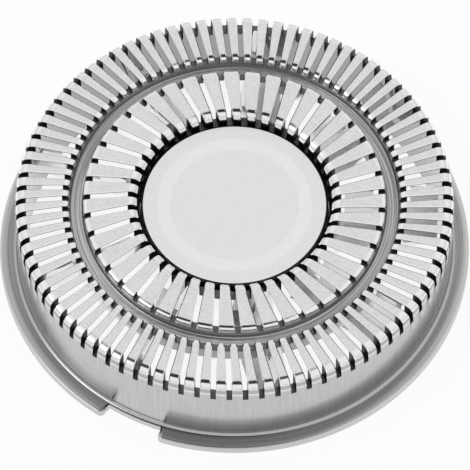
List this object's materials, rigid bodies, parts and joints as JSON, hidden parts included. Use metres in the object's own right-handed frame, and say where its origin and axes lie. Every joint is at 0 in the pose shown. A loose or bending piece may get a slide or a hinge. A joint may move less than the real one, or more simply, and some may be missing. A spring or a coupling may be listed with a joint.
{
  "type": "rotary shaver head",
  "caption": "Round shaver head: slotted steel guard with two cutting tracks, centre disc, and a spinning bladed cutter on a drive hub.",
  "frame": {"origin": "on the axis of rotation, in the plane of the flange's underside", "axes": "+Z along the axis of rotation to the shaving face; the key notch is at 243.5 degrees from +X towards +Y"},
  "size_m": [0.03, 0.03, 0.0062],
  "materials": {
    "guard_steel": "lapped bright stainless steel",
    "disc_steel": "fine frosted stainless steel",
    "bush_plastic": "moulded low-friction plastic",
    "cutter_steel": "ground stainless steel",
    "carrier_plastic": "moulded low-friction plastic"
  },
  "bodies": {
    "guard_assembly": {"guard": "guard_steel", "centre_disc": "disc_steel", "centre_bush": "bush_plastic"},
    "cutter_assembly": {"cutter": "cutter_steel", "carrier": "carrier_plastic"}
  },
  "joints": [
    {"name": "cutter_spin", "type": "hinge", "parent": "guard_assembly", "child": "cutter_assembly", "pos_m": [0, 0, 0.0036], "axis": [0, 0, 1], "continuous": true}
  ]
}
